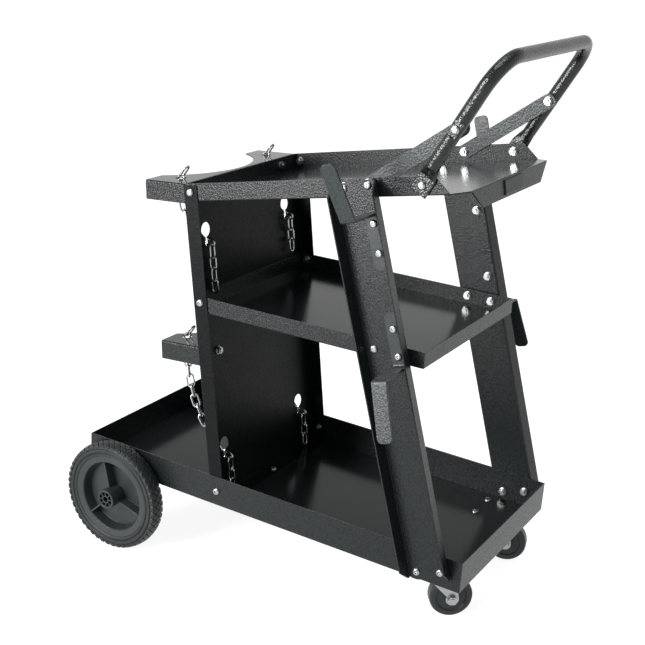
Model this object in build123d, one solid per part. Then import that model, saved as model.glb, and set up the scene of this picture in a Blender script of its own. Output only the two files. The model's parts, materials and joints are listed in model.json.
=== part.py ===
"""Three-tier welding cart: sheet-steel trays, leaning rear panel, two channel legs, tank brackets,
cable hooks, safety chains, tube handle, two large rear wheels and two swivel casters.

Frame: +X points from the tank end to the handle end, +Y to the cart's left, +Z up.
The origin is on the floor, on the centre plane, at the foot of the bottom tray's rear edge.
Lengths are millimetres, angles are degrees.
"""
import os
from math import atan2, cos, degrees, radians, sin, tan

from build123d import *

# ---- driving dimensions -------------------------------------------------------------------
SHEET = 1.5            # tray and panel sheet
LEG_SHEET = 2.0
BAR = 3.0              # flat bar of hooks and braces
FIT = 0.1              # assembly play between nested sheets

PANEL_HALF = 150.0     # half width of the rear panel
TRAY_HALF = PANEL_HALF + SHEET + FIT          # bottom tray, outside the panel
SHELF_HALF = PANEL_HALF - SHEET - FIT         # middle shelf and top tray, inside the panel

TRAY_LENGTH, TRAY_WALL = 658.0, 47.5
TRAY_PITCH, TRAY_REAR_Z = -4.9, 128.5         # the bottom tray runs down to the casters
SHELF_REACH, SHELF_WALL = 374.0, 24.0
SHELF_PITCH, SHELF_REAR_Z = -3.8, 412.0
TOP_WALL_LENGTH, TOP_WALL = 418.0, 25.5
TOP_PITCH, TOP_REAR_Z = 7.0, 574.0            # the top tray tips up towards the handle
LIP_AT, LIP_HALF_TOP, LIP_HALF_LOW, LIP_DEPTH = 440.0, 129.0, 99.0, 25.0

PANEL_X, PANEL_Z, PANEL_LEAN = 238.0, 110.0, 3.7
PANEL_TOP_Z, PANEL_FLANGE, PANEL_FOOT = 598.0, 24.0, 25.0
KEYHOLE_Y, KEYHOLE_R, KEYHOLE_SLOT, KEYHOLE_DROP = 107.0, 11.2, 7.0, 20.5
KEYHOLE_Z = {"upper": 525.0, "lower": 190.0}

LEG_X, LEG_Z, LEG_LEAN, LEG_WIDTH = 519.5, 350.0, 12.5, 64.0
LEG_TOP, LEG_LOW = 281.0, -281.0
LEG_FLANGE, LEG_SPLAY = 19.0, 3.3
LEG_CENTRE, LEG_BOLT_OFFSET = 32.0, 18.5
LEG_TOP_BOLT, LEG_SHELF_BOLT, LEG_LOW_BOLT = 273.5, 54.0, -269.0
HOOK_BOLTS = {1: (223.0, 183.0), -1: (80.4, 42.0)}

HOOK_WIDTH, HOOK_REACH, HOOK_BLADE, HOOK_STRIP = 22.0, 64.0, 82.0, 76.0
HOOKS = {  # side, height of the outward plate on the leg, +1 blade up or -1 blade down, outward flare
    "cable_hook_upper_right": (-1, 236.0, 1, 18.0),
    "cable_hook_lower_right": (-1, 27.0, -1, 9.0),
    "cable_hook_upper_left": (1, 236.0, 1, 2.0),
    "cable_hook_lower_left": (1, 27.0, -1, 10.5),
}

BRACKET_HALF, BRACKET_DEPTH, BRACKET_SKIRT, TANK_R = 148.0, 69.0, 28.5, 127.0
BRACKET_SHEET = 2.0
BRACKET_TOP_Z = {"upper": 599.5, "lower": 356.0}
LOBE_HOLE_X, LOBE_HOLE_Y, LOBE_HOLE_R = 175.5, 113.0, 8.0

TUBE_R, TUBE_WALL, TUBE_BEND = 9.5, 1.6, 45.0
HANDLE_BOLT = (382.0, 14.0)                   # on the top tray: along it, above its underside
HANDLE_CORNER = (508.5, 162.5)
BRACE_HIGH = (441.5, 83.3)
BRACE_WIDTH = 21.0

WHEEL_R, AXLE_X = 88.9, 62.0
WHEEL_Y, TYRE_HALF = 169.5, 14.0
RIM_R, RIM_BAND_R, DISH_R = 68.0, 70.5, 56.7
HUB_R, HUB_OUT, HUB_IN = 15.5, 193.0, 143.2
HUB_MOUTH_R, HUB_MOUTH = 13.6, 12.0
AXLE_R, BUSH_R = 6.35, 8.4
EAR_OUT, EAR_THICK = 141.0, 3.0

CASTER_S, CASTER_Y, CASTER_TRAIL, CASTER_DROP = 606.0, 102.0, 18.0, 43.5
CASTER_WHEEL_R, CASTER_WHEEL_W = 31.75, 21.0
CASTER_TURN = {"right": 38.0, "left": 15.0}   # how far each caster is swivelled at rest
CASTER_HOLES = (28.0, 24.0)                   # half spacing of the plate's bolts

BOLT_R, HEAD_R, HEAD_H = 3.0, 5.7, 3.4
NUT_AF, NUT_H = 10.0, 5.0

WIRE_R, LINK_LONG, LINK_WIDE = 1.5, 23.8, 13.4
LINK_PITCH = LINK_LONG - 4 * WIRE_R - 0.4     # neighbouring links hang 0.4 mm apart
TAIL_LINKS = {("upper", "right"): 4, ("upper", "left"): 3, ("lower", "right"): 3, ("lower", "left"): 3}
RUN_LINKS = {"upper": (5, 17.4), "lower": (11, 16.5)}   # links and their spacing as they hang
CAUGHT_TILT, CAUGHT_SHIFT = 20.0, 4.3         # the link held in a keyhole: nose-down, forward of it

ORIGIN_X = 338.0                              # the cart is written out centred about this X

SIDES = {"right": -1, "left": 1}


# ---- frames -------------------------------------------------------------------------------
def pitched(pitch, x, z, y=0.0):
    """Frame with local x along a member that rises at pitch, local y across, local z off it."""
    return Location((x, y, z), (0, -pitch, 0))


def panel_x(z, face=0.0):
    """X of the panel's rear face at height z; face adds a distance towards the handle."""
    return PANEL_X + face / cos(radians(PANEL_LEAN)) - (z - PANEL_Z) * tan(radians(PANEL_LEAN))


TRAY = pitched(TRAY_PITCH, 0, TRAY_REAR_Z)
SHELF = pitched(SHELF_PITCH, panel_x(SHELF_REAR_Z, SHEET), SHELF_REAR_Z)
TOP = pitched(TOP_PITCH, panel_x(TOP_REAR_Z, SHEET), TOP_REAR_Z)
LEG = pitched(LEG_LEAN, LEG_X, LEG_Z)
PANEL = pitched(PANEL_LEAN, PANEL_X, PANEL_Z)


def place(frame, s, y, k):
    """World point of a local point."""
    return (frame * Location((s, y, k))).position


def in_frame(frame, point):
    """Local point of a world point."""
    return (frame.inverse() * Location(tuple(point))).position


# ---- solids -------------------------------------------------------------------------------
def prism_y(outline, y0, y1):
    """Solid with an outline given as (x, z) points, running from y0 to y1."""
    face = Face(Wire.make_polygon([(x, y0, z) for x, z in outline], close=True))
    return Solid.extrude(face, Vector(0, y1 - y0, 0))


def prism_z(outline, z0, z1):
    """Solid with an outline given as (x, y) points, running from z0 to z1."""
    face = Face(Wire.make_polygon([(x, y, z0) for x, y in outline], close=True))
    return Solid.extrude(face, Vector(0, 0, z1 - z0))


def rod_y(radius, x, z, y0, y1):
    """Round bar along Y."""
    return Location((x, (y0 + y1) / 2, z), (90, 0, 0)) * Cylinder(radius, abs(y1 - y0))


def rod_x(radius, y, z, x0, x1):
    """Round bar along X."""
    return Location(((x0 + x1) / 2, y, z), (0, 90, 0)) * Cylinder(radius, abs(x1 - x0))


def rod_z(radius, x, y, z0, z1):
    """Round bar along Z."""
    return Location((x, y, (z0 + z1) / 2)) * Cylinder(radius, abs(z1 - z0))


def edges_near(shape, test):
    """Edges whose middle passes the test."""
    return ShapeList([edge for edge in shape.edges() if test(edge.position_at(0.5), edge)])


def along_y(edge):
    """True for an edge that runs along Y."""
    direction = edge.tangent_at(0.5)
    return abs(direction.Y) > 0.999


def soften(shape, edges, radius):
    """Round edges; the shape is kept as it is where there are none."""
    return shape.fillet(radius, edges) if edges else shape


# ---- fasteners ----------------------------------------------------------------------------
def bolt(grip):
    """Pan-head bolt: head above the origin on +Z, shank down through the grip."""
    head = Cylinder(HEAD_R, HEAD_H, align=(Align.CENTER, Align.CENTER, Align.MIN))
    head = head.fillet(2.9, head.edges().group_by(Axis.Z)[-1])
    recess = Location((0, 0, HEAD_H - 1.4))
    slots = recess * Box(4.8, 1.2, 4, align=(Align.CENTER, Align.CENTER, Align.MIN))
    slots += recess * Box(1.2, 4.8, 4, align=(Align.CENTER, Align.CENTER, Align.MIN))
    shank = rod_z(BOLT_R, 0, 0, -grip - NUT_H - 2.0, 0)
    return head - slots + shank


def nut(grip):
    """Hexagon nut under the grip of a bolt, with its flange washer."""
    body = extrude(RegularPolygon(NUT_AF / 2, 6, major_radius=False), amount=-NUT_H + 1.0)
    washer = rod_z(6.4, 0, 0, -grip - 1.0, -grip)
    return Location((0, 0, -grip - 1.0)) * body + washer - rod_z(BOLT_R, 0, 0, -grip - 9, 1)


class Fasteners:
    """Collects bolts, nuts and the holes that they pass through."""

    def __init__(self):
        self.bolts, self.nuts, self.seats = [], [], []

    def add(self, seat, grip, bolts=None):
        """Put a bolt at a seat, whose +Z points out of the head, and its nut past the grip."""
        (self.bolts if bolts is None else bolts).append(seat * bolt(grip))
        self.nuts.append(seat * nut(grip))
        self.seats.append((seat, grip))

    def holes(self, shape, reach=1.0):
        """Drill the shape wherever one of the bolts passes through it."""
        box = shape.bounding_box()
        for seat, grip in self.seats:
            tip = (seat * Location((0, 0, -grip))).position
            low = [min(a, b) - 4 for a, b in zip(tuple(seat.position), tuple(tip))]
            high = [max(a, b) + 4 for a, b in zip(tuple(seat.position), tuple(tip))]
            inside = all(
                lo <= b1 and hi >= b0
                for lo, hi, b0, b1 in zip(low, high, tuple(box.min), tuple(box.max))
            )
            if inside:
                shape = shape - seat * rod_z(BOLT_R, 0, 0, -grip - reach, reach)
        return shape


def side_seat(frame, s, k, side, y):
    """Seat of a bolt whose head faces outwards on the given side."""
    return frame * Location((s, side * y, k), (-90 * side, 0, 0))


# ---- trays --------------------------------------------------------------------------------
def pan(length, half, wall, rear_slant):
    """Folded pan with four walls; the rear wall slants by rear_slant degrees from square."""
    shift = wall * tan(radians(rear_slant))
    rise = wall - SHEET
    body = prism_y([(0, 0), (length, 0), (length, wall), (shift, wall)], -half, half)
    start = SHEET / cos(radians(rear_slant))
    low = start + SHEET * tan(radians(rear_slant))
    high = low + (rise + 5) * tan(radians(rear_slant))
    body -= prism_y(
        [(low, SHEET), (length - SHEET, SHEET), (length - SHEET, wall + 5), (high, wall + 5)],
        -half + SHEET,
        half - SHEET,
    )
    outer = edges_near(
        body, lambda p, e: abs(p.Z) < 1e-6 and (along_y(e) or abs(abs(p.Y) - half) < 1e-6)
    )
    body = soften(body, outer, 1.9)
    for side in (-1, 1):
        edge = side * (half - SHEET - 0.2)
        for x in (SHEET / 2 + shift / 2, length - SHEET / 2):
            seam = Box(abs(shift) + 4 * SHEET, 0.4, wall)
            body -= Location((x, edge, wall / 2 + 3.5)) * seam
    return body


def bottom_tray():
    return TRAY * pan(TRAY_LENGTH, TRAY_HALF, TRAY_WALL, 0)


def middle_shelf():
    return SHELF * pan(SHELF_REACH, SHELF_HALF, SHELF_WALL, -(PANEL_LEAN - SHELF_PITCH))


def top_tray():
    """Open-fronted tray: rear and side walls, cut-off front corners and a turned-down lip."""
    slant = TOP_PITCH - PANEL_LEAN
    shift = TOP_WALL * tan(radians(slant))
    end = TOP_WALL_LENGTH
    side_outline = [(0, 0), (end, 0), (end, 2.0), (end - 19, TOP_WALL), (shift, TOP_WALL)]
    body = prism_y(side_outline, -SHELF_HALF, SHELF_HALF)
    body -= prism_y(
        [(SHEET, SHEET), (end + 5, SHEET), (end + 5, 60), (SHEET + 60 * tan(radians(slant)), 60)],
        -SHELF_HALF + SHEET,
        SHELF_HALF - SHEET,
    )
    outer = edges_near(
        body,
        lambda p, e: abs(p.Z) < 1e-6 and (p.X < 1 or abs(abs(p.Y) - SHELF_HALF) < 1e-6),
    )
    body = soften(body, outer, 1.9)
    apron = prism_z(
        [
            (end - 1, -SHELF_HALF + SHEET),
            (end, -SHELF_HALF + SHEET),
            (LIP_AT, -LIP_HALF_TOP),
            (LIP_AT, LIP_HALF_TOP),
            (end, SHELF_HALF - SHEET),
            (end - 1, SHELF_HALF - SHEET),
        ],
        0,
        SHEET,
    )
    lip_face = Face(
        Wire.make_polygon(
            [
                (LIP_AT, -LIP_HALF_TOP, SHEET),
                (LIP_AT, LIP_HALF_TOP, SHEET),
                (LIP_AT, LIP_HALF_LOW, -LIP_DEPTH),
                (LIP_AT, -LIP_HALF_LOW, -LIP_DEPTH),
            ],
            close=True,
        )
    )
    body = body + apron + Solid.extrude(lip_face, Vector(-SHEET, 0, 0))
    fold = edges_near(
        body, lambda p, e: along_y(e) and abs(p.X - LIP_AT) < 0.01 and abs(p.Z - SHEET) < 0.01
    )
    body = soften(body, fold, 1.9)
    for side in (-1, 1):
        edge = side * (SHELF_HALF - SHEET - 0.2)
        body -= Location((SHEET, edge, TOP_WALL / 2 + 3.5)) * Box(6, 0.4, TOP_WALL)
    return TOP * body


# ---- rear panel ---------------------------------------------------------------------------
def rear_panel():
    """Leaning divider: web, two flanges turned towards the handle, foot, and four keyholes."""
    tilt = TRAY_PITCH
    floor = pitched(tilt, 0, TRAY_REAR_Z)
    floor_z = TRAY_REAR_Z + PANEL_X * tan(radians(tilt)) + SHEET / cos(radians(tilt))
    foot_k = in_frame(PANEL, (panel_x(floor_z), 0, floor_z)).Z
    top_k = in_frame(PANEL, (panel_x(PANEL_TOP_Z), 0, PANEL_TOP_Z)).Z
    slope = tan(radians(tilt - PANEL_LEAN))
    side = [(0, foot_k), (PANEL_FLANGE, foot_k + PANEL_FLANGE * slope + 0.2),
            (PANEL_FLANGE, top_k - 2), (PANEL_FLANGE - 2, top_k), (0, top_k)]
    body = prism_y(side, -PANEL_HALF, PANEL_HALF)
    body -= prism_y(
        [(SHEET, foot_k - 20), (PANEL_FLANGE + 5, foot_k - 20),
         (PANEL_FLANGE + 5, top_k + 5), (SHEET, top_k + 5)],
        -PANEL_HALF + SHEET,
        PANEL_HALF - SHEET,
    )
    folds = edges_near(body, lambda p, e: abs(p.X) < 1e-6 and abs(abs(p.Y) - PANEL_HALF) < 1e-6)
    body = PANEL * soften(body, folds, 2.0)
    foot_s = in_frame(floor, (panel_x(floor_z), 0, floor_z)).X
    half = PANEL_HALF - 24
    foot = prism_y(
        [(foot_s, SHEET), (foot_s + PANEL_FOOT, SHEET),
         (foot_s + PANEL_FOOT, 2 * SHEET), (foot_s, 2 * SHEET)],
        -half,
        half,
    )
    body = body + floor * foot
    for z in KEYHOLE_Z.values():
        x = panel_x(z)
        for y in (-KEYHOLE_Y, KEYHOLE_Y):
            body -= rod_x(KEYHOLE_R, y, z, x - 20, x + 20)
            body -= Location((x, y, z - KEYHOLE_DROP / 2)) * Box(40, KEYHOLE_SLOT, KEYHOLE_DROP)
            body -= rod_x(KEYHOLE_SLOT / 2, y, z - KEYHOLE_DROP, x - 20, x + 20)
    return body


# ---- legs and hooks -----------------------------------------------------------------------
def leg(side):
    """Channel leg with splayed outward flanges whose ends are cut off at an angle."""
    w, t, f, g = LEG_WIDTH, LEG_SHEET, LEG_FLANGE, LEG_SPLAY
    start = LEG_CENTRE - w / 2
    section = [
        (0, 0), (w, 0), (w + g, t + f), (w + g - t, t + f + 0.35),
        (w - t, t), (t, t), (t - g, t + f + 0.35), (-g, t + f),
    ]
    outline = [(start + x, side * (TRAY_HALF + y)) for x, y in section]
    body = prism_z(outline, LEG_LOW, LEG_TOP)
    inner = edges_near(body, lambda p, e: e.length > 400 and abs(abs(p.Y) - TRAY_HALF) < 0.01)
    body = soften(body, inner, 3.0)
    hollow = edges_near(
        body, lambda p, e: e.length > 400 and abs(abs(p.Y) - TRAY_HALF - t) < 0.01
    )
    body = soften(body, hollow, 0.5)
    for end, out in ((LEG_TOP, 1), (LEG_LOW, -1)):
        root = side * (TRAY_HALF + t + 0.8)
        tip = root + side * 30
        face = Face(Wire.make_polygon(
            [(-40, root, end), (-40, tip, end - out * 27), (-40, tip, end + out), (-40, root, end + out)],
            close=True))
        body -= Solid.extrude(face, Vector(170, 0, 0))
        for x, turn in ((start, 1), (start + w, -1)):
            corner = [(x - turn * 10, end + out), (x + turn * 7, end + out), (x + turn * 6, end),
                      (x - turn * 0.5, end - out * 7), (x - turn * 10, end - out * 7)]
            body -= prism_y(corner, side * (TRAY_HALF - 2), side * (TRAY_HALF + t + 0.8))
    below = prism_y([(540, 0.3), (700, 0.3), (700, -60), (540, -60)], side * 140, side * 200)
    return LEG * body - TRAY * below


def cable_hook(side, height, way, flare):
    """Flat bar bent twice: a strip on the leg, a plate outwards and a flared blade."""
    face = TRAY_HALF + LEG_SHEET + BAR / 2
    out = face + HOOK_REACH - BAR / 2
    strip_end = height - way * HOOK_STRIP
    tip = (out + HOOK_BLADE * sin(radians(flare)), height + way * HOOK_BLADE * cos(radians(flare)))
    s = LEG_CENTRE + LEG_BOLT_OFFSET
    points = [
        (s, side * face, strip_end), (s, side * face, height),
        (s, side * out, height), (s, side * tip[0], tip[1]),
    ]
    path = FilletPolyline(*points, radius=4.5)
    section = Plane(origin=path @ 0, x_dir=(1, 0, 0), z_dir=path % 0) * Rectangle(HOOK_WIDTH, BAR)
    body = sweep(section, path=path)
    ends = edges_near(body, lambda p, e: abs(e.length - BAR) < 0.05 and abs(abs(p.X - s) - HOOK_WIDTH / 2) < 0.01)
    ends = ShapeList([e for e in ends if abs(e.tangent_at(0.5).X) < 0.1])
    return LEG * soften(body, ends, 7.0)


# ---- tank brackets ------------------------------------------------------------------------
def tank_bracket(level):
    """Shelf plate with a curved notch for a gas cylinder, two skirts and a bolted flange."""
    top, t = BRACKET_TOP_Z[level], BRACKET_SHEET
    x = panel_x(top)
    rear = x - BRACKET_DEPTH
    lean = BRACKET_SKIRT * tan(radians(PANEL_LEAN))
    side = [(rear, top), (x, top), (x + lean, top - BRACKET_SKIRT), (rear, top - BRACKET_SKIRT)]
    body = prism_y(side, -BRACKET_HALF, BRACKET_HALF)
    drop = BRACKET_SKIRT + 10
    slip = tan(radians(PANEL_LEAN))
    body -= prism_y(
        [(rear - 10, top - t), (x - t + slip * t, top - t), (x - t + slip * (t + drop), top - t - drop),
         (rear - 10, top - t - drop)],
        -BRACKET_HALF + t,
        BRACKET_HALF - t,
    )
    corners = edges_near(body, lambda p, e: abs(p.Z - top) < 1e-6 and not along_y(e) and e.length > 40)
    body = soften(body, corners, 2.5)
    notch_x = x - 6 - TANK_R
    body -= rod_z(TANK_R, notch_x, 0, top - 5, top + 5)
    for side_y in (-1, 1):
        body -= rod_z(LOBE_HOLE_R, LOBE_HOLE_X, side_y * LOBE_HOLE_Y, top - 5, top + 5)
    tips = edges_near(
        body, lambda p, e: abs(p.X - rear) < 0.5 and abs(e.length - t) < 0.05 and abs(e.tangent_at(0.5).Z) > 0.9
    )
    return soften(body, tips, 3.0)


# ---- handle -------------------------------------------------------------------------------
def handle_tube():
    """U-bent tube with crimped flat ends and flats where the braces bolt on."""
    y = SHELF_HALF + TUBE_R
    run = Vector(HANDLE_CORNER[0] - HANDLE_BOLT[0], 0, HANDLE_CORNER[1] - HANDLE_BOLT[1]).normalized()
    bolt_at = Vector(HANDLE_BOLT[0], 0, HANDLE_BOLT[1])
    begin = bolt_at + run * 32
    corner = Vector(HANDLE_CORNER[0], 0, HANDLE_CORNER[1])
    points = [
        (begin.X, -y, begin.Z), (corner.X, -y, corner.Z),
        (corner.X, y, corner.Z), (begin.X, y, begin.Z),
    ]
    path = FilletPolyline(*points, radius=TUBE_BEND)
    across = Vector(0, 1, 0)
    start = Plane(origin=path @ 0, x_dir=across, z_dir=path % 0)
    ring = start * (Circle(TUBE_R) - Circle(TUBE_R - TUBE_WALL))
    body = sweep(ring, path=path)
    brace_at = bolt_at + run * (Vector(BRACE_HIGH[0], 0, BRACE_HIGH[1]) - bolt_at).length
    for side in (-1, 1):
        flat_y = side * (SHELF_HALF + TUBE_WALL + 0.2)
        bend = bolt_at + run * 14
        tip = Plane(origin=(bend.X, flat_y, bend.Z), x_dir=across, z_dir=run)
        neck = Plane(origin=(begin.X, side * y, begin.Z), x_dir=across, z_dir=run)
        flat = SlotOverall(26.0, 2 * (TUBE_WALL + 0.2), rotation=90)
        crimp = loft([tip * flat, neck * Circle(TUBE_R)])
        blade = Plane(origin=(bolt_at.X - run.X * 12, flat_y, bolt_at.Z - run.Z * 12),
                      x_dir=across, z_dir=run)
        body = body + crimp + extrude(blade * flat, amount=26)
        plug = Plane(origin=(brace_at.X - run.X * 15, side * y, brace_at.Z - run.Z * 15),
                     x_dir=across, z_dir=run)
        body = body + extrude(plug * Circle(TUBE_R - 0.4), amount=30)
        dent = Plane(origin=(brace_at.X, side * (y + TUBE_R), brace_at.Z), x_dir=across, z_dir=run)
        body -= extrude(dent * Rectangle(5.0, 30), amount=11, both=True)
    return TOP * body


def brace_low():
    """The leg's upper front bolt, on the top tray's frame: the brace shares it."""
    point = in_frame(TOP, place(LEG, LEG_CENTRE + LEG_BOLT_OFFSET, 0, LEG_TOP_BOLT))
    return point.X, point.Z


def brace_seat(side):
    """Y of a brace's inner and outer faces: it lies against the tray wall's inside."""
    inner = SHELF_HALF - SHEET
    return side * (inner - BAR), side * inner


def handle_brace(side):
    """Flat bar with rounded ends from the tray wall up to the handle tube."""
    (x0, z0), (x1, z1) = brace_low(), BRACE_HIGH
    length = ((x1 - x0) ** 2 + (z1 - z0) ** 2) ** 0.5
    y0, y1 = brace_seat(side)
    turn = degrees(atan2(z1 - z0, x1 - x0))
    bar = extrude(SlotCenterToCenter(length, BRACE_WIDTH), amount=BAR / 2, both=True)
    middle = Location(((x0 + x1) / 2, (y0 + y1) / 2, (z0 + z1) / 2), (0, -turn, 0))
    return TOP * middle * Location((0, 0, 0), (90, 0, 0)) * bar


def brace_spacers():
    """Thick washers that fill the gap between each brace and the tube."""
    rings = []
    for side in (-1, 1):
        ring = rod_y(8.0, *BRACE_HIGH, side * (SHELF_HALF - SHEET), side * SHELF_HALF)
        rings.append(TOP * (ring - rod_y(BOLT_R, *BRACE_HIGH, side * 100, side * 200)))
    return rings


# ---- rear axle and wheels -----------------------------------------------------------------
def axle_bracket(side):
    """Angle under the tray: a bolted flange and an ear that carries the axle."""
    centre = in_frame(TRAY, (AXLE_X, 0, WHEEL_R))
    y_out, y_in = side * EAR_OUT, side * (EAR_OUT - EAR_THICK)
    ear = prism_y(
        [(centre.X - 24, 0), (centre.X + 24, 0), (centre.X + 13, centre.Z), (centre.X - 13, centre.Z)],
        y_in,
        y_out,
    )
    ear += rod_y(13, centre.X, centre.Z, y_in, y_out)
    flange = Location((centre.X, side * (EAR_OUT - 18), -EAR_THICK / 2)) * Box(48, 36, EAR_THICK)
    body = TRAY * (ear + flange)
    return body - rod_y(AXLE_R, AXLE_X, WHEEL_R, -200, 200)


def rear_axle():
    """Plain steel axle through both ears, chamfered at its ends."""
    end = HUB_OUT - HUB_MOUTH + 1.2
    rod = rod_y(AXLE_R, AXLE_X, WHEEL_R, -end, end)
    return rod.chamfer(1.0, None, rod.edges().filter_by(GeomType.CIRCLE))


def axle_washers():
    """Plain washers between the ears and the wheel hubs."""
    rings = []
    for side in (-1, 1):
        ring = rod_y(12, AXLE_X, WHEEL_R, side * EAR_OUT, side * (EAR_OUT + 1.9))
        rings.append(ring - rod_y(AXLE_R, AXLE_X, WHEEL_R, -200, 200))
    return Compound(rings)


def push_nuts():
    """Spring nuts pressed on the axle ends, behind the hub caps."""
    rings = []
    for side in (-1, 1):
        inner = HUB_OUT - HUB_MOUTH - 3.2
        ring = rod_y(7.9, AXLE_X, WHEEL_R, side * inner, side * (inner + 1.6))
        rings.append(ring - rod_y(AXLE_R, AXLE_X, WHEEL_R, -300, 300))
    return Compound(rings)


def revolve_y(profile, x, z, side):
    """Revolve (radius, y) points about the Y-parallel line through x, z."""
    face = Face(Wire.make_polygon([(x + r, side * y, z) for r, y in profile], close=True))
    return Solid.revolve(face, 360, Axis((x, 0, z), (0, 1, 0)))


def tyre(side):
    """Solid rubber tyre with a rounded tread and a groove round each sidewall."""
    mid, half = WHEEL_Y, TYRE_HALF
    outline = []
    for way in (1, -1):
        flank = [
            (RIM_R, half - 2.0), (RIM_BAND_R + 0.8, half - 0.8), (72.4, half - 0.8), (72.9, half - 2.0),
            (74.2, half - 2.0), (74.8, half - 0.4), (78.6, half), (80.4, half - 2.4), (86.6, half - 3.4),
            (88.2, half - 6.5), (WHEEL_R, 3.0),
        ]
        points = [(r, mid + way * a) for r, a in flank]
        outline += points if way == 1 else points[::-1]
    return revolve_y(outline, AXLE_X, WHEEL_R, side)


def wheel_rim(side):
    """Moulded rim: tyre seat, sloping band, deep dish with three ribs, and webbed hub."""
    face = WHEEL_Y + TYRE_HALF - 2.0
    back = WHEEL_Y - TYRE_HALF + 2.0
    web = WHEEL_Y - 8.0
    ring = [
        (RIM_R, back), (RIM_R, face), (DISH_R + 1.2, face - 1.8), (DISH_R, face - 3.4),
        (DISH_R - 3.5, web + 2.0), (HUB_R - 1.0, web + 2.0), (HUB_R - 1.0, web - 1.5),
        (DISH_R + 2.0, web - 1.5), (RIM_R - 3.5, back),
    ]
    body = revolve_y(ring, AXLE_X, WHEEL_R, side)
    hub = rod_y(HUB_R, AXLE_X, WHEEL_R, side * HUB_IN, side * HUB_OUT)
    hub -= rod_y(BUSH_R, AXLE_X, WHEEL_R, side * 100, side * 300)
    hub -= rod_y(HUB_MOUTH_R, AXLE_X, WHEEL_R, side * (HUB_OUT - HUB_MOUTH), side * 300)
    body = body + hub
    for angle in (100, 220, 340):
        rib = prism_y(
            [(HUB_R - 1.0, -1.4), (DISH_R - 1.0, -1.1), (DISH_R - 1.0, 1.1), (HUB_R - 1.0, 1.4)],
            side * web,
            side * (WHEEL_Y + TYRE_HALF - 3.6),
        )
        body = body + Location((AXLE_X, 0, WHEEL_R), (0, -angle, 0)) * rib
    return body


def hub_cap(side):
    """Cap pressed in the hub's mouth: outer ring, eight radial webs, inner ring and a floor."""
    outer = side * (HUB_OUT - 0.4)
    floor = side * (HUB_OUT - 8.4)
    back = side * (HUB_OUT - 9.6)
    body = rod_y(HUB_MOUTH_R, AXLE_X, WHEEL_R, back, outer)
    body -= rod_y(HUB_MOUTH_R - 1.6, AXLE_X, WHEEL_R, floor, side * 300)
    inner = rod_y(6.4, AXLE_X, WHEEL_R, floor, outer)
    body = body + (inner - rod_y(4.6, AXLE_X, WHEEL_R, floor, side * 300))
    webs = 8
    for index in range(webs):
        web = Location((0, 0, 9.2)) * Box(1.5, 8.0, 6.4)
        turn = Location((AXLE_X, (floor + outer) / 2, WHEEL_R), (0, 360.0 / webs * index, 0))
        body = body + turn * web
    return body


def hub_bush(side):
    """Plastic sleeve bearing inside the hub."""
    sleeve = rod_y(BUSH_R, AXLE_X, WHEEL_R, side * HUB_IN, side * (HUB_OUT - HUB_MOUTH - 3.6))
    return sleeve - rod_y(AXLE_R + 0.07, AXLE_X, WHEEL_R, side * 100, side * 300)


# ---- casters ------------------------------------------------------------------------------
def caster_frame(side):
    """Swivel frame: origin on the tray's underside, local x along the trail, local z up."""
    turn = CASTER_TURN["right" if side < 0 else "left"]
    base = TRAY * Location((CASTER_S, side * CASTER_Y, 0))
    return base, base * Location((0, 0, 0), (0, 0, turn))


def caster_plate(side):
    """Mounting plate with rounded corners, four slots and a pressed ball race."""
    base, _ = caster_frame(side)
    plate = extrude(RectangleRounded(74, 62, 6), amount=-2.4)
    race = rod_z(19, 0, 0, -4.6, -2.4) - rod_z(14.0, 0, 0, -6, -3.2)
    plate = plate + race - rod_z(4.0, 0, 0, -9, 4)
    for x in (-CASTER_HOLES[0], CASTER_HOLES[0]):
        for y in (-CASTER_HOLES[1], CASTER_HOLES[1]):
            plate -= Location((x, y, -1)) * extrude(SlotOverall(9.0, 6.2), amount=6, both=True)
    return base * plate


def caster_kingpin(side):
    """Riveted pin that holds the fork to the plate."""
    base, _ = caster_frame(side)
    pin = rod_z(4.0, 0, 0, -9.6, -0.2) + rod_z(8.0, 0, 0, -11.2, -9.6)
    return base * pin


def caster_balls(side):
    """Ring of bearing balls between the plate's race and the fork's crown."""
    base, _ = caster_frame(side)
    count = 14
    balls = []
    for index in range(count):
        turn = Location((0, 0, 0), (0, 0, 360.0 / count * index))
        balls.append(base * turn * Location((11.5, 0, -5.05)) * Sphere(1.4))
    return balls


def caster_fork(side):
    """Pressed fork: crown under the race and two tapered arms down to the axle."""
    _, swivel = caster_frame(side)
    crown_top, crown_low = -6.25, -8.45
    half = 14.4
    crown = rod_z(20.5, 0, 0, crown_low, crown_top)
    crown -= (rod_z(13.2, 0, 0, -6.9, -5.0) - rod_z(9.8, 0, 0, -8, -4))
    crown -= rod_z(4.07, 0, 0, -20, 0)
    arms = None
    outline = [(-19, crown_top), (19.5, crown_top), (CASTER_TRAIL + 9.5, -CASTER_DROP + 2),
               (CASTER_TRAIL + 2, -CASTER_DROP - 9.2), (CASTER_TRAIL - 5, -CASTER_DROP - 8.1),
               (CASTER_TRAIL - 8.5, -CASTER_DROP + 4), (-16.5, -13.0), (-19, crown_low)]
    for way in (-1, 1):
        arm = prism_y(outline, way * half, way * (half + 2.0))
        tip = rod_y(9.6, CASTER_TRAIL, -CASTER_DROP, way * half, way * (half + 2.0))
        arms = arm + tip if arms is None else arms + arm + tip
    bridge = Location((0, 0, (crown_top + crown_low) / 2)) * Box(38, 2 * half + 4, crown_top - crown_low)
    body = crown + bridge + arms - rod_z(4.07, 0, 0, -20, 0)
    body -= (rod_z(13.2, 0, 0, -6.9, -5.0) - rod_z(9.8, 0, 0, -8, -4))
    body -= rod_y(4.0, CASTER_TRAIL, -CASTER_DROP, -40, 40)
    return swivel * body


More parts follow.
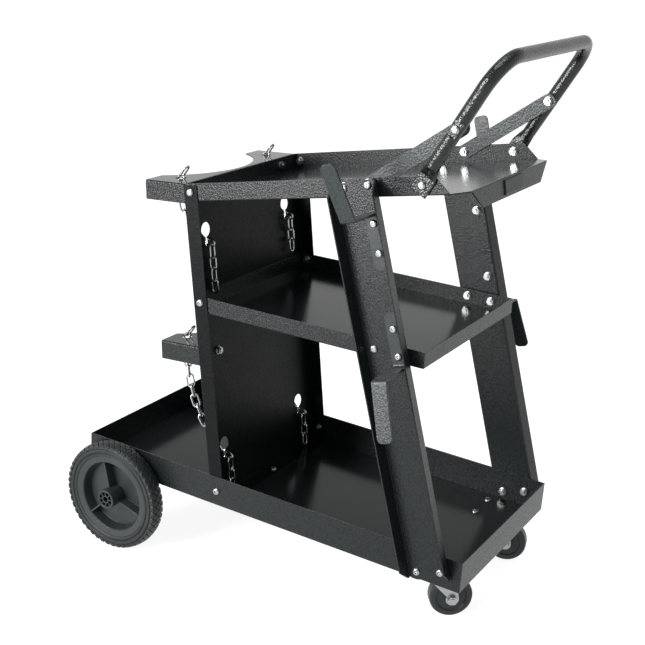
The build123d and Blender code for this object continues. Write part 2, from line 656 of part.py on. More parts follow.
def caster_wheel(side):
    """Small tyre and hub in one moulding, with a recessed face on each side."""
    _, swivel = caster_frame(side)
    half, r = CASTER_WHEEL_W / 2, CASTER_WHEEL_R
    outline = [
        (5.5, half + 1.8), (8.5, half + 1.8), (9.0, half - 2.6), (21.5, half - 2.6), (23.0, half - 0.6),
        (28.6, half - 0.6), (30.8, half - 1.8), (r, half - 4.2),
    ]
    profile = outline + [(radius, -a) for radius, a in outline[::-1]]
    wheel = revolve_y([(radius, a) for radius, a in profile], CASTER_TRAIL, -CASTER_DROP, 1)
    return swivel * wheel


def caster_sleeve(side):
    """Steel sleeve bearing pressed in the caster wheel."""
    _, swivel = caster_frame(side)
    half = CASTER_WHEEL_W / 2 + 1.8
    sleeve = rod_y(5.5, CASTER_TRAIL, -CASTER_DROP, -half, half)
    return swivel * (sleeve - rod_y(4.07, CASTER_TRAIL, -CASTER_DROP, -40, 40))


def caster_axle(side):
    """Axle bolt across the fork with a hexagon head and a lock nut."""
    _, swivel = caster_frame(side)
    out = 16.4                                # outside faces of the fork's arms
    rod = rod_y(4.0, CASTER_TRAIL, -CASTER_DROP, -out - 6.5, out)
    head = extrude(RegularPolygon(6.0, 6, major_radius=False), amount=4.4)
    head = Location((CASTER_TRAIL, out, -CASTER_DROP), (-90, 0, 0)) * head
    lock = extrude(RegularPolygon(6.0, 6, major_radius=False), amount=5.4)
    lock = Location((CASTER_TRAIL, -out, -CASTER_DROP), (90, 0, 0)) * lock
    return swivel * (rod + head + lock)


# ---- chains -------------------------------------------------------------------------------
def chain_link():
    """Oval link in the local XZ plane, long along X."""
    end, low = LINK_LONG / 2 - WIRE_R, LINK_WIDE / 2 - WIRE_R
    straight = end - low
    path = Wire([
        Line((0, 0, -low), (straight, 0, -low)),
        ThreePointArc((straight, 0, -low), (end, 0, 0), (straight, 0, low)),
        Line((straight, 0, low), (0, 0, low)),
    ])
    section = Plane(origin=(0, 0, -low), z_dir=(1, 0, 0)) * Circle(WIRE_R)
    half = sweep(section, path=path)
    return half + mirror(half, about=Plane.YZ)


LINK = chain_link()


def link_along(start, end, width):
    """A link whose two contact points are given, broad towards a direction."""
    way = (end - start).normalized()
    broad = (width - way * width.dot(way)).normalized()
    plane = Plane(origin=(start + end) * 0.5, x_dir=way, z_dir=broad)
    return plane.location * LINK


def upright(way):
    """The direction across a link that stands in the XZ plane."""
    return way.cross(Vector(0, 1, 0)).normalized()


def rolled(way, angle):
    """The upright direction turned about the link's own length."""
    flat = way.cross(upright(way))
    return upright(way) * cos(radians(angle)) + flat * sin(radians(angle))


def lobe(level, side):
    """Centre of a bracket's chain hole, on the top of its plate."""
    return Vector(LOBE_HOLE_X, side * LOBE_HOLE_Y, BRACKET_TOP_Z[level])


def caught_link(level, side):
    """Centre and direction of the link that is caught in a keyhole's slot."""
    z = KEYHOLE_Z[level] - KEYHOLE_DROP - KEYHOLE_SLOT / 2 + 6.3
    centre = Vector(panel_x(z, SHEET / 2) + CAUGHT_SHIFT, side * KEYHOLE_Y, z)
    tilt = radians(CAUGHT_TILT)
    return centre, Vector(cos(tilt), 0, -sin(tilt))


def tail_pivot(level, side):
    """Centre of the tail's topmost wire, which rests inside the caught link and turns there."""
    centre, _ = caught_link(level, side)
    bend = LINK_WIDE / 2 - WIRE_R
    straight = LINK_LONG / 2 - WIRE_R - bend
    tilt = radians(CAUGHT_TILT)
    lowest = centre + Vector(straight * cos(tilt), 0, -straight * sin(tilt) - bend)
    return lowest + Vector(0, 0, 2 * WIRE_R + 0.5)


def sagging_nodes(start, goal, count, pitch):
    """Equally spaced points on a sagging curve between two points, count * pitch long."""
    chord = goal - start
    down = Vector(chord.Z, 0, -chord.X).normalized()
    low, high = 0.0, 200.0
    steps = 240
    for _ in range(40):
        sag = (low + high) / 2
        knee = (start + goal) * 0.5 + down * sag
        points = [
            start * (1 - t) ** 2 + knee * (2 * t * (1 - t)) + goal * t ** 2
            for t in (index / steps for index in range(steps + 1))
        ]
        marks = [0.0]
        for a, b in zip(points, points[1:]):
            marks.append(marks[-1] + (b - a).length)
        low, high = (sag, high) if marks[-1] < count * pitch else (low, sag)
    nodes = [start]
    for index in range(1, count):
        want = marks[-1] * index / count
        at = next(i for i, mark in enumerate(marks) if mark >= want)
        share = (want - marks[at - 1]) / (marks[at] - marks[at - 1])
        nodes.append(points[at - 1] * (1 - share) + points[at] * share)
    return nodes + [goal]


def hanging_links(nodes, facing=-31.0):
    """Links along nodes, each turned a quarter from the last; the last one stands upright."""
    spans = len(nodes) - 2
    step = 180.0 * round(spans / 2 + 0.01) / spans
    links = []
    for index, (a, b) in enumerate(zip(nodes, nodes[1:])):
        ease = min(1.0, index / 2, (spans - index) / 2)
        links.append(link_along(a, b, rolled((b - a).normalized(), step * index + facing * ease)))
    return links


def last_nodes(level, side):
    """Contact points at the two ends of the link caught in a keyhole."""
    centre, way = caught_link(level, side)
    return [centre - way * (LINK_PITCH / 2), centre + way * (LINK_PITCH / 2)]


def chain_run(level, side):
    """Links from the lobe, down through its hole and back to the link caught in the keyhole."""
    half = LINK_LONG / 2 - WIRE_R
    end_wire = lobe(level, side) + Vector(0, 0, WIRE_R + 0.1)
    lean = radians(52.0)
    tipped = Vector(cos(lean), 0, sin(lean))
    keeper = link_along(end_wire, end_wire + tipped * 2 * half, Vector(0, 1, 0))
    top = end_wire + Vector(0, 0, half - LINK_PITCH / 2)
    count, pitch = RUN_LINKS[level]
    start = top - Vector(0, 0, LINK_PITCH)
    rear, front = last_nodes(level, side)
    nodes = [top] + sagging_nodes(start, rear, count, pitch) + [front]
    return Compound([keeper] + hanging_links(nodes))


def chain_tail(level, side):
    """Links that hang down along the panel's front from the caught link."""
    lean = radians(PANEL_LEAN)
    down = Vector(sin(lean), 0, -cos(lean))
    top = tail_pivot(level, side) + down * (LINK_LONG / 2 - WIRE_R - LINK_PITCH / 2)
    links = []
    for index in range(TAIL_LINKS[(level, "right" if side < 0 else "left")]):
        a = top + down * (LINK_PITCH * index)
        links.append(link_along(a, a + down * LINK_PITCH, rolled(down, 0 if index % 2 else 90)))
    return Compound(links)


# ---- name plate ---------------------------------------------------------------------------
def name_plate():
    """Blank raised plate on the lip."""
    plate = Location((LIP_AT + 1.0, 3.0, -LIP_DEPTH / 2 + 1.0)) * Box(2.0, 62, 20)
    rim = edges_near(plate, lambda p, e: abs(p.X - LIP_AT - 2.0) < 0.01)
    return TOP * plate.chamfer(0.9, None, rim)


# ---- bolted joints ------------------------------------------------------------------------
def frame_fasteners():
    """Seats of every bolt in the frame, in groups that share a node."""
    groups = {}

    def group(name):
        groups[name] = Fasteners()
        return groups[name]

    front, rear = LEG_CENTRE + LEG_BOLT_OFFSET, LEG_CENTRE - LEG_BOLT_OFFSET
    gap = TRAY_HALF - SHELF_HALF
    on_leg, on_hook = TRAY_HALF + LEG_SHEET, TRAY_HALF + LEG_SHEET + BAR
    through_shelf = LEG_SHEET + gap + SHEET

    legs = group("leg")
    panel = group("panel")
    brackets = group("tank_bracket")
    handle = group("handle")
    under = group("undercarriage")
    for side in (-1, 1):
        legs.add(side_seat(LEG, front, LEG_TOP_BOLT, side, on_leg), through_shelf + BAR)
        legs.add(side_seat(LEG, rear, LEG_TOP_BOLT, side, on_leg), through_shelf)
        legs.add(side_seat(LEG, rear, LEG_SHELF_BOLT, side, on_leg), through_shelf)
        for s in (rear, front):
            legs.add(side_seat(LEG, s, LEG_LOW_BOLT, side, on_leg), LEG_SHEET + SHEET)
        for k in HOOK_BOLTS[1] + HOOK_BOLTS[-1][:1]:
            legs.add(side_seat(LEG, front, k, side, on_hook), BAR + LEG_SHEET)
        legs.add(side_seat(LEG, front, HOOK_BOLTS[-1][1], side, on_hook), BAR + through_shelf)

        for z, outside in ((PANEL_TOP_Z - 10, PANEL_HALF), (425.6, PANEL_HALF), (130.0, TRAY_HALF)):
            at = in_frame(PANEL, (panel_x(z), 0, z))
            panel.add(side_seat(PANEL, 12.0, at.Z, side, outside), 2 * SHEET + FIT)

        for z, grip in ((587.5, BRACKET_SHEET + 2 * SHEET), (339.0, BRACKET_SHEET + SHEET)):
            at = in_frame(PANEL, (panel_x(z), 0, z))
            thick = BRACKET_SHEET * cos(radians(PANEL_LEAN))
            seat = PANEL * Location((-thick, side * 102.0, at.Z), (0, -90, 0))
            brackets.add(seat, grip - BRACKET_SHEET + thick)

        flat = 2 * (TUBE_WALL + 0.2)
        handle.add(side_seat(TOP, *HANDLE_BOLT, side, SHELF_HALF + flat), flat + SHEET)
        on_tube = SHELF_HALF + TUBE_R + 7.0
        inside = SHELF_HALF - SHEET - BAR
        handle.add(side_seat(TOP, *BRACE_HIGH, side, on_tube), on_tube - inside)

        axle_s = in_frame(TRAY, (AXLE_X, 0, WHEEL_R)).X
        for ds in (-15.0, 15.0):
            seat = TRAY * Location((axle_s + ds, side * (EAR_OUT - 22), SHEET))
            under.add(seat, SHEET + EAR_THICK)

        for dx in (-CASTER_HOLES[0], CASTER_HOLES[0]):
            for dy in (-CASTER_HOLES[1], CASTER_HOLES[1]):
                seat = TRAY * Location((CASTER_S + dx, side * CASTER_Y + dy, SHEET))
                under.add(seat, SHEET + 2.4)

    foot_s = in_frame(TRAY, (PANEL_X, 0, TRAY_REAR_Z - PANEL_X * tan(radians(-TRAY_PITCH)))).X
    panel.add(TRAY * Location((foot_s + 14.0, 0, 2 * SHEET)), 2 * SHEET)
    return groups


def leg_spacers():
    """Washers that fill the gap between the legs and the two narrower trays."""
    rings = []
    spots = [
        (LEG_CENTRE + LEG_BOLT_OFFSET, LEG_TOP_BOLT), (LEG_CENTRE - LEG_BOLT_OFFSET, LEG_TOP_BOLT),
        (LEG_CENTRE - LEG_BOLT_OFFSET, LEG_SHELF_BOLT), (LEG_CENTRE + LEG_BOLT_OFFSET, HOOK_BOLTS[-1][1]),
    ]
    for side in (-1, 1):
        for s, k in spots:
            ring = rod_y(8.0, s, k, side * SHELF_HALF, side * TRAY_HALF)
            rings.append(LEG * (ring - rod_y(BOLT_R, s, k, side * 100, side * 200)))
    return rings


def drilled(shape, groups, names):
    """Drill a sheet part for the bolts of the named groups."""
    for name in names:
        shape = groups[name].holes(shape)
    return shape


# ---- assembly -----------------------------------------------------------------------------
def build():
    """Every node of the cart, by name."""
    groups = frame_fasteners()
    parts = {
        "bottom_tray": drilled(bottom_tray(), groups, ("leg", "panel", "undercarriage")),
        "middle_shelf": drilled(middle_shelf(), groups, ("leg", "panel")),
        "top_tray": drilled(top_tray(), groups, ("leg", "panel", "tank_bracket", "handle")),
        "rear_panel": drilled(rear_panel(), groups, ("panel", "tank_bracket")),
        "name_plate": name_plate(),
        "upper_tank_bracket": drilled(tank_bracket("upper"), groups, ("tank_bracket",)),
        "lower_tank_bracket": drilled(tank_bracket("lower"), groups, ("tank_bracket",)),
        "handle_tube": drilled(handle_tube(), groups, ("handle",)),
        "spacer_washers": Compound(brace_spacers() + leg_spacers()),
        "rear_axle": rear_axle(),
        "axle_washers": axle_washers(),
        "axle_push_nuts": push_nuts(),
        "caster_kingpins": Compound([caster_kingpin(side) for side in SIDES.values()]),
        "caster_balls": Compound([ball for side in SIDES.values() for ball in caster_balls(side)]),
    }
    for name, (side, height, way, flare) in HOOKS.items():
        parts[name] = drilled(cable_hook(side, height, way, flare), groups, ("leg",))
    for word, side in SIDES.items():
        parts[f"{word}_leg"] = drilled(leg(side), groups, ("leg",))
        parts[f"{word}_handle_brace"] = drilled(handle_brace(side), groups, ("leg", "handle"))
        parts[f"{word}_axle_bracket"] = drilled(axle_bracket(side), groups, ("undercarriage",))
        parts[f"{word}_tyre"] = tyre(side)
        parts[f"{word}_wheel_rim"] = wheel_rim(side)
        parts[f"{word}_hub_bush"] = hub_bush(side)
        parts[f"{word}_hub_cap"] = hub_cap(side)
        parts[f"{word}_caster_plate"] = caster_plate(side)
        parts[f"{word}_caster_fork"] = caster_fork(side)
        parts[f"{word}_caster_wheel"] = caster_wheel(side)
        parts[f"{word}_caster_sleeve"] = caster_sleeve(side)
        parts[f"{word}_caster_axle"] = caster_axle(side)
        for level in BRACKET_TOP_Z:
            parts[f"{level}_{word}_chain"] = chain_run(level, side)
            parts[f"{level}_{word}_chain_tail"] = chain_tail(level, side)
    for name, fasteners in groups.items():
        parts[f"{name}_bolts"] = Compound(fasteners.bolts)
        parts[f"{name}_nuts"] = Compound(fasteners.nuts)
    return parts


os.makedirs("parts", exist_ok=True)
SHIFT = Location((-ORIGIN_X, 0, 0))
for node, solid in build().items():
    export_step(SHIFT * solid, f"parts/{node}.step")
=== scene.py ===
"""Welding cart: surfaces, tread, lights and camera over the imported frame. Metres, +Z up."""
import json
import math

import bmesh
import bpy
from mathutils import Matrix, Vector


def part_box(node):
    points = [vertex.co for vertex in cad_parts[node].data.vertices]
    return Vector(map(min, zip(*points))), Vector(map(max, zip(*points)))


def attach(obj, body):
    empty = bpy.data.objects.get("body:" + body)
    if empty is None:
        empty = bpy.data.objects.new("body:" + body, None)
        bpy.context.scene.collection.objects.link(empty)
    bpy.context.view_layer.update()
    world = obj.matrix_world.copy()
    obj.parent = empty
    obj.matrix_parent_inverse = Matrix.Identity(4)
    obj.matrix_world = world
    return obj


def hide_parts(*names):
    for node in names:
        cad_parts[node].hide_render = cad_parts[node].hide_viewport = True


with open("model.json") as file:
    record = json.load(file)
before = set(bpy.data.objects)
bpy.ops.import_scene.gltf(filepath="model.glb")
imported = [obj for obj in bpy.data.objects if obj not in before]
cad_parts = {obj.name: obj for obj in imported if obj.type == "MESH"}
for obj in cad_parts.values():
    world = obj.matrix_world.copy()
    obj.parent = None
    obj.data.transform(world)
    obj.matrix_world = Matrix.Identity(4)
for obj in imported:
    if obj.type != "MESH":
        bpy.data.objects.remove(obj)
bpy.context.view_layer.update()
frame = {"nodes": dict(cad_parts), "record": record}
NODES = frame["nodes"]

CAMERA_PLACE = (0.94345, -1.54931, 0.93909)
CAMERA_YAW, CAMERA_PITCH, CAMERA_ROLL = 31.08, 17.34, -0.29
CAMERA_LENS, SENSOR_WIDTH = 69.44, 36

CREASE_RADIUS, FINE_RADIUS = 0.0007, 0.0006           # how far materials round the edges
PEBBLE_PAINTED_HIGHLIGHT, PEBBLE_PAINTED_SHADE, CLOUDED = 1.25, 0.75, 0.6   # gains on the coat's colour: painted highlight and painted shade on the pebbles, and a random darker cloud


# ---- shader helpers -----------------------------------------------------------------------
class Shader:
    """A material with one principled shader and short calls that add nodes to it."""

    def __init__(self, name, color, roughness, metallic=0.0):
        self.material = bpy.data.materials.new(name)
        self.material.use_nodes = True
        self.tree = self.material.node_tree
        self.shader = self.tree.nodes["Principled BSDF"]
        self.shader.inputs["Base Color"].default_value = (*color, 1)
        self.shader.inputs["Roughness"].default_value = roughness
        self.shader.inputs["Metallic"].default_value = metallic
        self.space = self.tree.nodes.new("ShaderNodeTexCoord").outputs["Object"]
        self.material.diffuse_color = (*color, 1)

    def node(self, kind, inputs=None, **fields):
        made = self.tree.nodes.new(kind)
        for key, value in fields.items():
            setattr(made, key, value)
        for key, value in (inputs or {}).items():
            if hasattr(value, "is_output"):
                self.tree.links.new(value, made.inputs[key])
            else:
                made.inputs[key].default_value = value
        return made

    def to(self, socket, output):
        self.tree.links.new(output, self.shader.inputs[socket])

    def stretch(self, scale):
        return self.node("ShaderNodeMapping", {"Vector": self.space, "Scale": scale}).outputs["Vector"]

    def noise(self, scale, detail=2.0, rough=0.5, vector=None):
        inputs = {"Vector": vector or self.space, "Scale": scale, "Detail": detail, "Roughness": rough}
        return self.node("ShaderNodeTexNoise", inputs).outputs["Fac"]

    def cells(self, scale, vector, smooth):
        inputs = {"Vector": vector, "Scale": scale}
        made = self.node("ShaderNodeTexVoronoi", feature="SMOOTH_F1", inputs=inputs)
        made.inputs["Smoothness"].default_value = smooth
        return made.outputs["Distance"]

    def warped(self, scale, amount):
        """Object coordinates pushed about by noise."""
        noise = self.node("ShaderNodeTexNoise", {"Vector": self.space, "Scale": scale, "Detail": 2.0})
        centred = self.node(
            "ShaderNodeVectorMath", {0: noise.outputs["Color"], 1: (0.5, 0.5, 0.5)}, operation="SUBTRACT"
        )
        small = self.node(
            "ShaderNodeVectorMath", {0: centred.outputs[0], "Scale": amount}, operation="SCALE"
        )
        return self.node(
            "ShaderNodeVectorMath", {0: self.space, 1: small.outputs[0]}, operation="ADD"
        ).outputs[0]

    def math(self, operation, a, b=0.0):
        return self.node("ShaderNodeMath", {0: a, 1: b}, operation=operation).outputs[0]

    def span(self, value, low, high, to_low=0.0, to_high=1.0):
        inputs = {"Value": value, "From Min": low, "From Max": high, "To Min": to_low, "To Max": to_high}
        return self.node("ShaderNodeMapRange", inputs).outputs["Result"]

    def mix(self, factor, a, b):
        made = self.node("ShaderNodeMix", data_type="RGBA")
        for socket, value in ((0, factor), (6, a), (7, b)):
            if hasattr(value, "is_output"):
                self.tree.links.new(value, made.inputs[socket])
            else:
                made.inputs[socket].default_value = value if socket == 0 else (*value, 1)
        return made.outputs[2]

    def bump(self, height, strength, distance, normal=None):
        """Normal tilted by a height, on top of a normal that may be given."""
        inputs = {"Height": height, "Strength": strength, "Distance": distance}
        if normal is not None:
            inputs["Normal"] = normal
        return self.node("ShaderNodeBump", inputs).outputs["Normal"]

    def rounded(self, radius):
        return self.node("ShaderNodeBevel", {"Radius": radius}, samples=4).outputs["Normal"]

    def upward(self, low, high):
        """1 on faces that look up, 0 on upright ones, in the object's own frame."""
        normal = self.node("ShaderNodeTexCoord").outputs["Normal"]
        z = self.node("ShaderNodeSeparateXYZ", {0: normal}).outputs["Z"]
        return self.span(z, low, high)


# ---- materials ----------------------------------------------------------------------------
def hammertone(name, color, cell, depth, roughness, floor_calm=0.85, sheen=0.5):
    """Black powder coat that cures into small shiny dimples, almost flat on the level floors; its colour
    carries painted highlight and painted shade on the pebbles.
    """
    s = Shader(name, color, roughness)
    where = s.warped(60, 0.001)
    pits = s.cells(cell, where, smooth=0.25)
    small = s.cells(cell * 2.3, where, smooth=0.6)
    rise = s.math("ADD", pits, s.math("MULTIPLY", small, 0.2))
    cloud = s.noise(9, 3.0, 0.6)
    gains = (PEBBLE_PAINTED_HIGHLIGHT, PEBBLE_PAINTED_SHADE, CLOUDED)
    light, painted_pebble_shade, shade = (tuple(c * gain for c in color) for gain in gains)
    # painted highlight and painted shade: the coat's colour turns lighter and darker across each pebble
    # cell
    tone = s.mix(s.span(pits, 0.1, 0.6), light, painted_pebble_shade)
    s.to("Base Color", s.mix(s.span(cloud, 0.4, 0.75, 0.0, 0.3), tone, shade))
    ripple = s.noise(1100, 2.0, 0.6)
    height = s.math("ADD", rise, s.math("MULTIPLY", ripple, 0.05))
    uneven = s.span(s.math("ADD", pits, cloud), 0.3, 1.2, roughness * 0.8, roughness * 1.25)
    if floor_calm:
        level = s.upward(0.55, 0.9)
        calmer = s.math("SUBTRACT", 1.0, s.math("MULTIPLY", level, floor_calm))
        height = s.math("MULTIPLY", height, calmer)
        uneven = s.math("MULTIPLY", uneven, s.math("SUBTRACT", 1.0, s.math("MULTIPLY", level, 0.45)))
    s.to("Roughness", uneven)
    pebbled = s.span(pits, 0.3, 0.75, sheen * 1.12, sheen * 0.8)
    if floor_calm:
        pebbled = s.math("ADD", pebbled, s.math("MULTIPLY", s.math("SUBTRACT", sheen, pebbled), level))
    s.to("Specular IOR Level", pebbled)
    s.to("Normal", s.bump(height, 1.0, depth, s.rounded(CREASE_RADIUS)))
    return s.material


def plated(name, color, roughness, grain=600):
    """Bright zinc plate with a faint cloudy bloom and fine handling marks."""
    s = Shader(name, color, roughness, 1.0)
    cloud = s.noise(60, 4.0, 0.65)
    warm = (color[0] * 1.02, color[1] * 0.99, color[2] * 0.9)
    cool = (color[0] * 0.82, color[1] * 0.86, color[2] * 0.92)
    s.to("Base Color", s.mix(s.span(cloud, 0.35, 0.65), warm, cool))
    fine = s.noise(grain, 3.0, 0.7)
    s.to("Roughness", s.span(s.math("ADD", cloud, fine), 0.7, 1.3, roughness * 0.7, roughness * 1.5))
    s.to("Normal", s.bump(fine, 0.25, 0.00012, s.rounded(0.0004)))
    return s.material


def turned_steel(name):
    """Bare turned steel: fine rings and a light grey bloom."""
    s = Shader(name, (0.42, 0.42, 0.43), 0.32, 1.0)
    rings = s.noise(800, 2.0, 0.5, s.stretch((1, 6, 1)))
    s.to("Roughness", s.span(rings, 0.3, 0.7, 0.24, 0.42))
    s.to("Base Color", s.mix(s.noise(40, 3.0), (0.5, 0.5, 0.5), (0.33, 0.33, 0.35)))
    s.to("Normal", s.bump(rings, 0.3, 0.0001))
    return s.material


def rubber(name, color, roughness, dust):
    """Moulded rubber: fine skin, dull bloom and a little dust in random patches."""
    s = Shader(name, color, roughness)
    s.shader.inputs["Specular IOR Level"].default_value = 0.26
    skin = s.noise(1500, 4.0, 0.7)
    bloom = s.noise(25, 4.0, 0.6)
    grey = tuple(c * 1.9 + 0.006 for c in color)
    s.to("Base Color", s.mix(s.span(bloom, 0.4, 0.75, 0.0, dust), color, grey))
    s.to("Roughness", s.span(bloom, 0.3, 0.7, roughness * 0.85, roughness * 1.15))
    s.to("Normal", s.bump(skin, 0.35, 0.00025, s.rounded(FINE_RADIUS)))
    return s.material


def plastic(name, color, roughness):
    """Moulded plastic with a spark-eroded grain and faint flow marks."""
    s = Shader(name, color, roughness)
    s.shader.inputs["Specular IOR Level"].default_value = 0.32
    grain = s.noise(2200, 3.0, 0.7)
    flow = s.noise(18, 3.0, 0.6)
    s.to("Base Color", s.mix(s.span(flow, 0.35, 0.7), color, tuple(c * 0.72 for c in color)))
    s.to("Roughness", s.span(flow, 0.3, 0.7, roughness * 0.85, roughness * 1.2))
    s.to("Normal", s.bump(grain, 0.3, 0.0002, s.rounded(FINE_RADIUS)))
    return s.material


# hammertone takes: name, colour, pebbles per metre, bump depth, roughness, floor calm, sheen
LOOKS = {
    "hammertone_black": hammertone(
        "hammertone_coat", (0.0062, 0.0082, 0.0086), 480, 0.0003, 0.23, 0.85, 0.24
    ),
    # the rear panel's coat: a darker copy of the black coat, painted shade
    "panel_painted_shade_coat": hammertone("panel_painted_shade_coat", (0.0025, 0.0034, 0.0036), 480, 0.00025, 0.3, 0.85, 0.08),
    # the hooks' and braces' coat: a lighter copy of the black coat, painted highlight
    "bar_painted_highlight_coat": hammertone("bar_painted_highlight_coat", (0.018, 0.023, 0.024), 360, 0.00022, 0.28, 0.0, 0.28),
    "handle_black": hammertone("hammertone_handle", (0.003, 0.0038, 0.004), 420, 0.0004, 0.16, 0.0, 0.4),
    "plate_blank": hammertone("plate_coat", (0.0062, 0.0082, 0.0086), 480, 0.0002, 0.3, 0.0, 0.24),
    "zinc": plated("zinc_plate", (0.33, 0.34, 0.345), 0.24),
    "chain_zinc": plated("chain_plate", (0.42, 0.43, 0.43), 0.16, 900),
    "axle_steel": turned_steel("axle_steel"),
    "tyre": rubber("tyre_rubber", (0.0065, 0.0088, 0.0088), 0.42, 0.4),
    "rim_plastic": plastic("rim_plastic", (0.012, 0.0165, 0.017), 0.36),
    "bush_plastic": plastic("bush_plastic", (0.03, 0.03, 0.032), 0.4),
    "caster_rubber": rubber("caster_rubber", (0.010, 0.013, 0.0135), 0.36, 0.4),
}


def dress(obj, look):
    """Give every material slot of an object one look."""
    if not obj.material_slots:
        obj.data.materials.append(LOOKS[look])
    for slot in obj.material_slots:
        slot.material = LOOKS[look]


def dress_cad_nodes():
    """Each node takes the look of its slot in the record; the flat bars take a lighter copy of the coat
    as painted highlight, the panel a darker copy as painted shade.
    """
    for part in frame["record"]["subparts"]:
        dress(NODES[part["node"]], part["material_slot"])
        if part["node"].startswith("cable_hook") or part["node"].endswith("handle_brace"):
            dress(NODES[part["node"]], "bar_painted_highlight_coat")
    dress(NODES["rear_panel"], "panel_painted_shade_coat")


# ---- tyres --------------------------------------------------------------------------------
TYRE_SEGMENTS = 180
BLOCKS_ROUND, BLOCK_ROWS, ROW_STEP = 48, (-2, -1, 0, 1, 2), 0.0060
BLOCK_LENGTH, BLOCK_WIDTH = 0.0102, 0.0106
BLOCK_ROOT, BLOCK_EDGE, BLOCK_TOP, CROWN_DROP = 0.001, 0.0006, 0.00012, 0.0016
WHEEL_R, TREAD_R = 0.0889, 0.0856
TREAD_HALF, TYRE_HALF, SHOULDER = 0.0102, 0.0138, 0.0132


def tyre_outline():
    """(radius, distance from mid-plane) points over half of the tyre's section, from the tread in."""
    return [
        (TREAD_R, 0.0), (TREAD_R, 0.006), (0.0851, 0.0096), (0.0841, 0.0110), (0.083, 0.0118),
        (0.0808, 0.0119), (0.0803, 0.0122), (0.0797, 0.0136), (0.0785, TYRE_HALF), (0.077, TYRE_HALF),
        (0.0752, 0.01355), (0.0747, 0.0128), (0.0742, 0.01195), (0.0733, 0.0119), (0.0727, 0.0124),
        (0.0724, 0.0131), (0.0715, 0.0133), (0.0702, 0.01325), (0.0684, 0.0124), (0.0681, 0.0100),
    ]


def lathe(mesh, outline, axle, mid_y, segments):
    """Closed ring swept round the axle from a closed (radius, y) outline."""
    rings = []
    for index in range(segments):
        angle = 2 * math.pi * index / segments
        rings.append([
            mesh.verts.new((axle[0] + r * math.cos(angle), mid_y + y, axle[1] + r * math.sin(angle)))
            for r, y in outline
        ])
    count = len(outline)
    for ring, following in zip(rings, rings[1:] + rings[:1]):
        for k in range(count):
            mesh.faces.new((ring[k], ring[(k + 1) % count], following[(k + 1) % count], following[k]))


BLOCK_CORNERS = [(-0.5, 0.0), (-0.12, -0.5), (0.12, -0.5), (0.5, 0.0), (0.12, 0.5), (-0.12, 0.5)]


def tread_block(mesh, axle, mid_y, angle, offset):
    """One raised diamond that follows the tyre's crown and stops at its shoulder."""
    levels = [(TREAD_R - BLOCK_ROOT, 1.0), (WHEEL_R - BLOCK_EDGE, 0.9), (WHEEL_R - BLOCK_TOP, 0.78)]
    loops = []
    for radius, shrink in levels:
        loop = []
        for u, v in BLOCK_CORNERS:
            y = max(-SHOULDER, min(SHOULDER, offset + v * BLOCK_WIDTH * shrink))
            crown = CROWN_DROP * (y / TREAD_HALF) ** 2
            turn = angle + u * BLOCK_LENGTH * shrink / radius
            r = radius - crown
            x, z = axle[0] + r * math.cos(turn), axle[1] + r * math.sin(turn)
            loop.append(mesh.verts.new((x, mid_y + y, z)))
        loops.append(loop)
    count = len(BLOCK_CORNERS)
    for low, high in zip(loops, loops[1:]):
        for k in range(count):
            mesh.faces.new((low[k], low[(k + 1) % count], high[(k + 1) % count], high[k]))
    mesh.faces.new(loops[-1])
    mesh.faces.new(loops[0][::-1])


def tyre(word):
    """Rubber tyre with staggered rows of diamond tread blocks."""
    low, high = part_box(f"{word}_tyre")
    axle = ((low[0] + high[0]) / 2, (low[2] + high[2]) / 2)
    mid_y = (low[1] + high[1]) / 2
    half = tyre_outline()
    outline = half[::-1] + [(r, -y) for r, y in half[1:]]
    mesh = bmesh.new()
    lathe(mesh, outline, axle, mid_y, TYRE_SEGMENTS)
    half_step = math.pi / BLOCKS_ROUND
    for index in range(BLOCKS_ROUND):
        angle = 2 * math.pi * index / BLOCKS_ROUND
        for row in BLOCK_ROWS:
            turn = angle + (half_step if row % 2 else 0.0)
            tread_block(mesh, axle, mid_y, turn, row * ROW_STEP)
    bmesh.ops.recalc_face_normals(mesh, faces=mesh.faces)
    piece = made(f"{word}_tyre_treaded", mesh, "tyre", f"{word}_rear_wheel", smooth=35)
    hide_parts(f"{word}_tyre")


def made(name, mesh, look, body, smooth):
    """Turn a bmesh into a piece that rides on a body."""
    data = bpy.data.meshes.new(name)
    mesh.to_mesh(data)
    mesh.free()
    piece = bpy.data.objects.new(name, data)
    bpy.context.scene.collection.objects.link(piece)
    data.shade_smooth()
    data.set_sharp_from_angle(angle=math.radians(smooth))
    dress(piece, look)
    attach(piece, body)
    return piece


# ---- studio -------------------------------------------------------------------------------
FLOOR_SIZE, FLOOR_GLOW = 30, 0.86


def floor():
    """Wide white floor, lit partly from itself so that only a faint shadow shows."""
    mesh = bmesh.new()
    bmesh.ops.create_grid(mesh, x_segments=2, y_segments=2, size=FLOOR_SIZE)
    data = bpy.data.meshes.new("studio_floor")
    mesh.to_mesh(data)
    mesh.free()
    plane = bpy.data.objects.new("studio_floor", data)
    bpy.context.scene.collection.objects.link(plane)
    s = Shader("studio_paper", (0.3, 0.3, 0.3), 0.9)
    s.shader.inputs["Emission Color"].default_value = (1, 1, 1, 1)
    s.shader.inputs["Emission Strength"].default_value = FLOOR_GLOW
    s.to("Base Color", s.mix(s.noise(3), (0.295, 0.295, 0.295), (0.305, 0.305, 0.305)))
    data.materials.append(s.material)


def softbox(name, place, aim, size, power):
    """Rectangular area light aimed at a point."""
    light = bpy.data.lights.new(name, "AREA")
    light.shape = "RECTANGLE"
    light.size, light.size_y = size
    light.energy = power
    holder = bpy.data.objects.new(name, light)
    holder.location = place
    holder.rotation_euler = (Vector(aim) - Vector(place)).to_track_quat("-Z", "Y").to_euler()
    bpy.context.scene.collection.objects.link(holder)


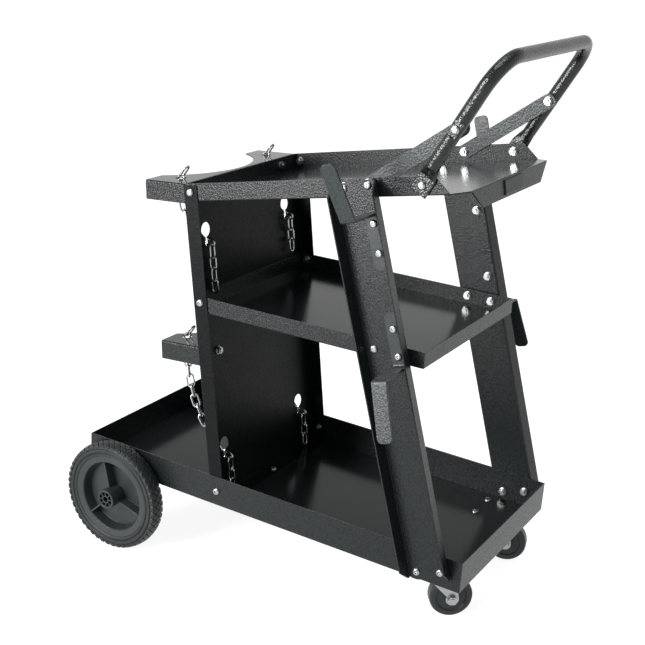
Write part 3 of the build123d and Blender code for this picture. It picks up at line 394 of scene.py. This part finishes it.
def studio():
    """Surroundings that are white low down and greyer overhead, with two softboxes."""
    world = bpy.data.worlds.new("studio")
    bpy.context.scene.world = world
    world.use_nodes = True
    tree = world.node_tree
    where = tree.nodes.new("ShaderNodeTexCoord")
    split = tree.nodes.new("ShaderNodeSeparateXYZ")
    fade = tree.nodes.new("ShaderNodeMapRange")
    for key, value in (("From Min", 0.3), ("From Max", 0.6), ("To Min", 1.0), ("To Max", 0.55)):
        fade.inputs[key].default_value = value
    tree.links.new(where.outputs["Generated"], split.inputs[0])
    tree.links.new(split.outputs["Z"], fade.inputs["Value"])
    tree.links.new(fade.outputs["Result"], tree.nodes["Background"].inputs["Strength"])
    tree.nodes["Background"].inputs["Color"].default_value = (1, 1, 1, 1)
    softbox("softbox_top", (0.2, -0.6, 3.0), (0, 0, 0.4), (1.6, 1.6), 45)
    softbox("softbox_left", (-0.95, -2.1, 1.15), (0.1, 0, 0.7), (1.0, 1.7), 130)


def camera():
    """Camera at the product view's angle, with plain colour handling."""
    bpy.context.scene.view_settings.view_transform = "Standard"
    yaw, pitch, roll = map(math.radians, (CAMERA_YAW, CAMERA_PITCH, CAMERA_ROLL))
    back = Vector((math.sin(yaw) * math.cos(pitch), -math.cos(yaw) * math.cos(pitch), math.sin(pitch)))
    right = (-back).cross(Vector((0, 0, 1))).normalized()
    up = right.cross(-back)
    turned_right = right * math.cos(roll) + up * math.sin(roll)
    turned_up = up * math.cos(roll) - right * math.sin(roll)
    data = bpy.data.cameras.new("camera")
    data.lens = CAMERA_LENS
    data.sensor_width = SENSOR_WIDTH
    data.clip_end = 60
    holder = bpy.data.objects.new("camera", data)
    holder.matrix_world = Matrix((
        (turned_right.x, turned_up.x, back.x, CAMERA_PLACE[0]),
        (turned_right.y, turned_up.y, back.y, CAMERA_PLACE[1]),
        (turned_right.z, turned_up.z, back.z, CAMERA_PLACE[2]),
        (0, 0, 0, 1),
    ))
    bpy.context.scene.collection.objects.link(holder)
    bpy.context.scene.camera = holder


dress_cad_nodes()
for word in ("right", "left"):
    tyre(word)
floor()
studio()
camera()
